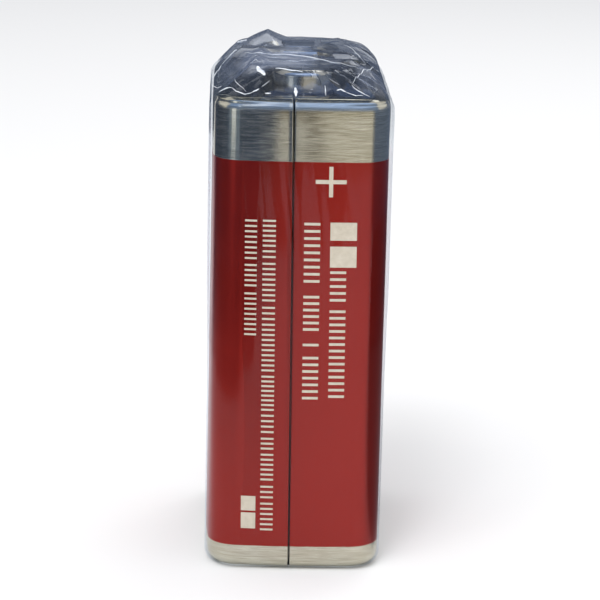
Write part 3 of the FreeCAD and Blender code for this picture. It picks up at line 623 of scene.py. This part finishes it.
def clear_film():
    """Clear shrink film, blown and shrunk by heat: all but unseen on the sides. In the hood
    it has thickened and crumpled, so it is smoky and streaked and, where its layers lie
    together, milky."""
    made, tree = material("clear_shrink_film")
    place = add(tree, "ShaderNodeTexCoord", out="Object")
    height = add(tree, "ShaderNodeSeparateXYZ", {0: place}, out="Z")
    hood = add(tree, "ShaderNodeMapRange", {0: height, 1: 46.0 * MM, 2: 46.9 * MM})
    stretched = add(tree, "ShaderNodeMapping", {"Vector": place, "Scale": (1 / 7, 1 / 2.5, 1)})
    streaks = add(tree, "ShaderNodeTexNoise", {
        "Vector": stretched, "Scale": 1 / (0.5 * MM), "Detail": 4.0})
    cloudy = add(tree, "ShaderNodeTexNoise", {"Vector": place, "Scale": 1 / (3 * MM)})
    wrinkles = add(tree, "ShaderNodeMath", {0: streaks, 1: cloudy}, operation="ADD")
    strength = add(tree, "ShaderNodeMapRange", {0: hood, 4: 0.22})
    bump = add(tree, "ShaderNodeBump", {
        "Height": wrinkles, "Strength": strength, "Distance": 0.12 * MM})
    # a thin film has air on both sides, so it mirrors alike from within: Schlick's share
    facing = add(tree, "ShaderNodeLayerWeight", {"Blend": 0.5, "Normal": bump}, "Facing")
    edge = add(tree, "ShaderNodeMath", {0: facing, 1: 5.0}, operation="POWER")
    fresnel = add(tree, "ShaderNodeMapRange", {0: edge, 3: 0.04, 4: 1.0})
    glossier = add(tree, "ShaderNodeMapRange", {0: hood, 3: 0.45, 4: 1.2})
    glossed = add(tree, "ShaderNodeMath", {0: fresnel, 1: glossier},
                  operation="MULTIPLY", use_clamp=True)
    gloss = add(tree, "ShaderNodeBsdfGlossy", {
        "Color": "#f4f8ff", "Roughness": 0.07, "Normal": bump})
    # the share that passes straight through falls with the length of its way in the film
    cosine = add(tree, "ShaderNodeMath", {0: 1.06, 1: facing}, operation="SUBTRACT")
    way = add(tree, "ShaderNodeMath", {0: 1.0, 1: cosine}, operation="DIVIDE")
    passed = add(tree, "ShaderNodeMath", {0: 0.86, 1: way}, operation="POWER")
    smoky = add(tree, "ShaderNodeMix", {0: passed, 6: "#465268", 7: "#f3f6fa"}, 2, data_type="RGBA")
    tint = add(tree, "ShaderNodeMix", {0: hood, 6: "#f8fafc", 7: smoky}, 2, data_type="RGBA")
    through = add(tree, "ShaderNodeBsdfTransparent", {"Color": tint})
    streaky = add(tree, "ShaderNodeMapRange", {0: streaks, 1: 0.4, 2: 0.65})
    milky = add(tree, "ShaderNodeMix", {0: streaky, 6: "#6f788c", 7: "#a9afbc"}, 2,
                data_type="RGBA")
    haze = add(tree, "ShaderNodeBsdfDiffuse", {"Color": milky})
    layered = add(tree, "ShaderNodeAttribute", out="Fac", attribute_name="milkiness")
    clear = add(tree, "ShaderNodeMath", {0: 1.0, 1: layered}, operation="SUBTRACT")
    clear = add(tree, "ShaderNodeMath", {0: clear, 1: way}, operation="POWER")
    veiled = add(tree, "ShaderNodeMath", {0: 1.0, 1: clear}, operation="SUBTRACT")
    veil = add(tree, "ShaderNodeMixShader", {0: veiled, 1: through, 2: haze})
    both = add(tree, "ShaderNodeMixShader", {0: glossed, 1: veil, 2: gloss})
    add(tree, "ShaderNodeOutputMaterial", {0: both})
    return made


def mottled(name, dark, light, size, metallic, roughness, spread=0.15, bump=0.0):
    """A material with mottling of a size in millimetres between two colours. The same
    mottling varies the roughness, and is as deep as the bump, also in millimetres."""
    made, tree = material(name)
    place = add(tree, "ShaderNodeTexCoord", out="Object")
    grain = add(tree, "ShaderNodeTexNoise", {
        "Vector": place, "Scale": 1 / (size * MM), "Detail": 4.0})
    share = add(tree, "ShaderNodeMapRange", {0: grain, 1: 0.3, 2: 0.7})
    colour = add(tree, "ShaderNodeMix", {0: share, 6: dark, 7: light}, 2, data_type="RGBA")
    low, high = roughness * (1 - spread), roughness * (1 + spread)
    rough = add(tree, "ShaderNodeMapRange", {0: share, 3: low, 4: high})
    relief = add(tree, "ShaderNodeBump", {
        "Height": grain, "Strength": 0.4, "Distance": bump * MM})
    shader = add(tree, "ShaderNodeBsdfPrincipled", {
        "Base Color": colour, "Metallic": metallic, "Roughness": rough, "Normal": relief})
    add(tree, "ShaderNodeOutputMaterial", {0: shader})
    return made


# Stage
def stage_piece(name, points, faces, colour, glow=0.0):
    """Part of the studio. A card glows with its own even colour, and only gloss sees it."""
    piece = piece_from(name, points, faces)
    made, tree = material(name + "_paper")
    if glow:
        shader = add(tree, "ShaderNodeEmission", {"Color": colour, "Strength": glow})
        for kind in ("camera", "diffuse", "transmission", "volume_scatter", "shadow"):
            setattr(piece, "visible_" + kind, False)
    else:
        shader = add(tree, "ShaderNodeBsdfDiffuse", {"Color": colour})
    add(tree, "ShaderNodeOutputMaterial", {0: shader})
    piece.data.materials.append(made)


def card(name, radius, headings, heights, colour, glow=1.0):
    """A card bent round the battery at a radius, between two headings, counted in degrees
    from the camera's side towards the right, and between two heights."""
    turn = np.radians(np.linspace(*headings, 12))
    ring = np.stack([radius * np.sin(turn), -radius * np.cos(turn)], axis=-1)
    rings = [np.column_stack([ring, np.full(12, z)]) for z in heights]
    stage_piece(name, np.array(rings), grid_faces(2, 12), colour, glow)


def place_stage():
    """A pale floor, a pale world, and dark cards for the metal and film to mirror."""
    quad = [(0, 1, 2, 3)]
    side = 3000.0
    stage_piece("floor", [(-side, -side, 0), (side, -side, 0), (side, side, 0), (-side, side, 0)],
                quad, "#f6f5f3")
    # the tin's dark left half, with the bright streak at its corner
    card("left_card", 72, (-84, -4), (16, 56), "#505c74")
    card("left_low_card", 72, (-84, -4), (0, 16), "#3b455a")
    card("left_side_card", 78, (-140, -84), (0, 64), "#465167")
    card("left_streak", 70, (-46, -32), (36, 56), "#e8f0fa", 1.7)
    card("left_halo", 71, (-56, -19), (31, 56), "#8698b2", 1.0)
    # its dark right corner
    card("right_card", 88, (54, 150), (17, 64), "#6b7a96")
    card("right_halo", 89, (47, 60), (17, 64), "#8f9397")
    card("right_low_card", 88, (54, 150), (0, 17), "#2e3644")
    stage_piece("right_floor_card", [(13, -9, 0.1), (88, -62, 0.1), (88, 90, 0.1), (13, 60, 0.1)],
                quad, "#84858b", 1.0)
    # what the hood mirrors from behind
    card("back_card", 110, (126, 234), (54, 150), "#4f5868")
    card("low_back_card", 112, (155, 205), (20, 54), "#4f5868")
    # the warm middle and right of the tin
    card("low_card", 150, (4.5, 60), (12, 70), "#c4bda9")
    card("seam_card", 150, (0.5, 4.5), (0, 70), "#77726a")
    card("low_middle_card", 150, (-12, 0.5), (12, 70), "#979080")
    # blue light on the shoulder, fading downwards, and on the hood
    card("left_low_sky_card", 68, (-70, 0), (57, 92), "#7f9bcc", 0.7)
    card("right_low_sky_card", 68, (0, 70), (57, 92), "#8fa6cf", 0.9)
    card("left_sky_card", 68, (-70, 0), (92, 300), "#93b3ef", 1.3)
    card("right_sky_card", 68, (0, 70), (92, 300), "#9db8ec", 1.9)
    stage_piece("overhead_card", [(-110, -60, 330), (110, -60, 330), (110, 230, 330),
                                  (-110, 230, 330)], quad, "#6b7686", 1.0)
    world = bpy.data.worlds.new("studio")
    bpy.context.scene.world = world
    world.use_nodes = True
    tree = world.node_tree
    tree.nodes.clear()
    seen = add(tree, "ShaderNodeLightPath", out="Is Camera Ray")
    for kind in ("Is Glossy Ray", "Is Transmission Ray"):
        other = add(tree, "ShaderNodeLightPath", out=kind)
        seen = add(tree, "ShaderNodeMath", {0: seen, 1: other}, operation="MAXIMUM")
    colour = add(tree, "ShaderNodeMix", {0: seen, 6: "#f3f5fa", 7: "#f8f9fa"}, 2,
                 data_type="RGBA")
    strength = add(tree, "ShaderNodeMapRange", {0: seen, 3: 0.82, 4: 0.98})
    shader = add(tree, "ShaderNodeBackground", {0: colour, 1: strength})
    add(tree, "ShaderNodeOutputWorld", {0: shader})


def lamp(name, place, aim, size, radiance, colour="#ffffff"):
    """A soft lamp at a place, turned to a point and of a size, all in millimetres. Its power
    follows from its radiance and its area."""
    data = bpy.data.lights.new(name, "AREA")
    data.shape = "RECTANGLE"
    data.size, data.size_y = size[0] * MM, size[1] * MM
    data.energy = radiance * math.pi * data.size * data.size_y
    data.color = linear(colour)[:3]
    made = bpy.data.objects.new(name, data)
    bpy.context.scene.collection.objects.link(made)
    place, aim = Vector(place) * MM, Vector(aim) * MM
    made.location = place
    made.rotation_euler = (aim - place).to_track_quat("-Z", "Y").to_euler()
    return made


def place_camera():
    """The photograph's view: its distance and its target are in millimetres, and its
    elevation above the horizon, its azimuth from -Y and its roll are in degrees."""
    data = bpy.data.cameras.new("camera")
    camera = bpy.data.objects.new("camera", data)
    bpy.context.scene.collection.objects.link(camera)
    distance, target = 256.116, Vector((0.521, 0, 23.827))
    elevation, azimuth, roll = (math.radians(a) for a in (14.278, -1.666, 1.408))
    away = Vector((math.sin(azimuth) * math.cos(elevation),
                   -math.cos(azimuth) * math.cos(elevation), math.sin(elevation)))
    camera.location = (target + away * distance) * MM
    look = (-away).to_track_quat("-Z", "Y").to_matrix()
    camera.rotation_euler = (look @ Matrix.Rotation(roll, 3, "Z")).to_euler()
    data.sensor_width = 36.0
    data.lens = 153.98
    data.clip_start = 0.01
    bpy.context.scene.camera = camera


# Assembly
tinplate, film_stuff = tinplate_printed(), clear_film()
# offset ink, printed and stoved: a matt cream that lies a little unevenly
ink = mottled("cream_ink", "#c9bba4", "#d6c9b4", 0.5, 0.0, 0.4)
# shrink film, whitened where a sharp fold has stretched it: white and silky. The same white paints
# glints and highlights of light on the hood
whitened_and_glints = mottled("whitened_film_and_painted_glints", "#dbe4ee", "#fdfeff", 0.3, 0.0, 0.25)
# pressed steel, nickel plated in a barrel: a bright, slightly warm mirror with soft patches
nickel = mottled("nickel_plated_steel", "#dfd7c6", "#ece5d6", 1.2, 1.0, 0.2, 0.25)
# polystyrene, moulded in a polished tool: black, glossy and smooth, with a faint orange peel
black = mottled("black_moulded_plastic", "#1b1c1f", "#26282b", 0.3, 0.0, 0.16, 0.3, 0.003)
# chipboard card, rolled grey and fibrous: for what lies inside and never shows
inner = mottled("grey_card", "#8c8472", "#a39a86", 0.4, 0.0, 0.8)

jacket = dress_jacket()
film, hood = dress_film()
marks = print_marks("print_marks", bars_of_words())
stud = polished_stud()
minus = print_marks("minus_mark", np.array([(-4.41, -1.51, 38.36, 38.74)]), 1)
creases_and_glints = film_creases_and_glints(hood)
for piece, stuff, slot in (
        (jacket, tinplate, "lacquered_tinplate"), (film, film_stuff, "clear_film"),
        (marks, ink, "lacquered_tinplate"), (minus, ink, "lacquered_tinplate"),
        (creases_and_glints, whitened_and_glints, "clear_film"), (stud, nickel, "nickel_plate")):
    piece.data.materials.append(stuff)
    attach(piece, "root")
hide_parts("jacket")
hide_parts("positive_stud")
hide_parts("shrink_film")

for name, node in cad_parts.items():
    node.data.materials.clear()
    if name in ("positive_stud", "negative_socket", "positive_rivet", "negative_rivet"):
        node.data.materials.append(nickel)
    elif name in ("top_cover", "bottom_cover"):
        node.data.materials.append(black)
    else:
        node.data.materials.append(inner)

place_stage()
lamp("key_softbox", (-110, -260, 380), (0, 0, 25), (300, 300), 3.4).visible_glossy = False
lamp("small_lamp", (-60, -190, 330), (0, 0, 40), (60, 60), 16.0, "#f4f7ff")
lamp("back_softbox", (120, 260, 300), (0, 0, 30), (200, 200), 2.0)
place_camera()
bpy.context.scene.view_settings.view_transform = "Standard"
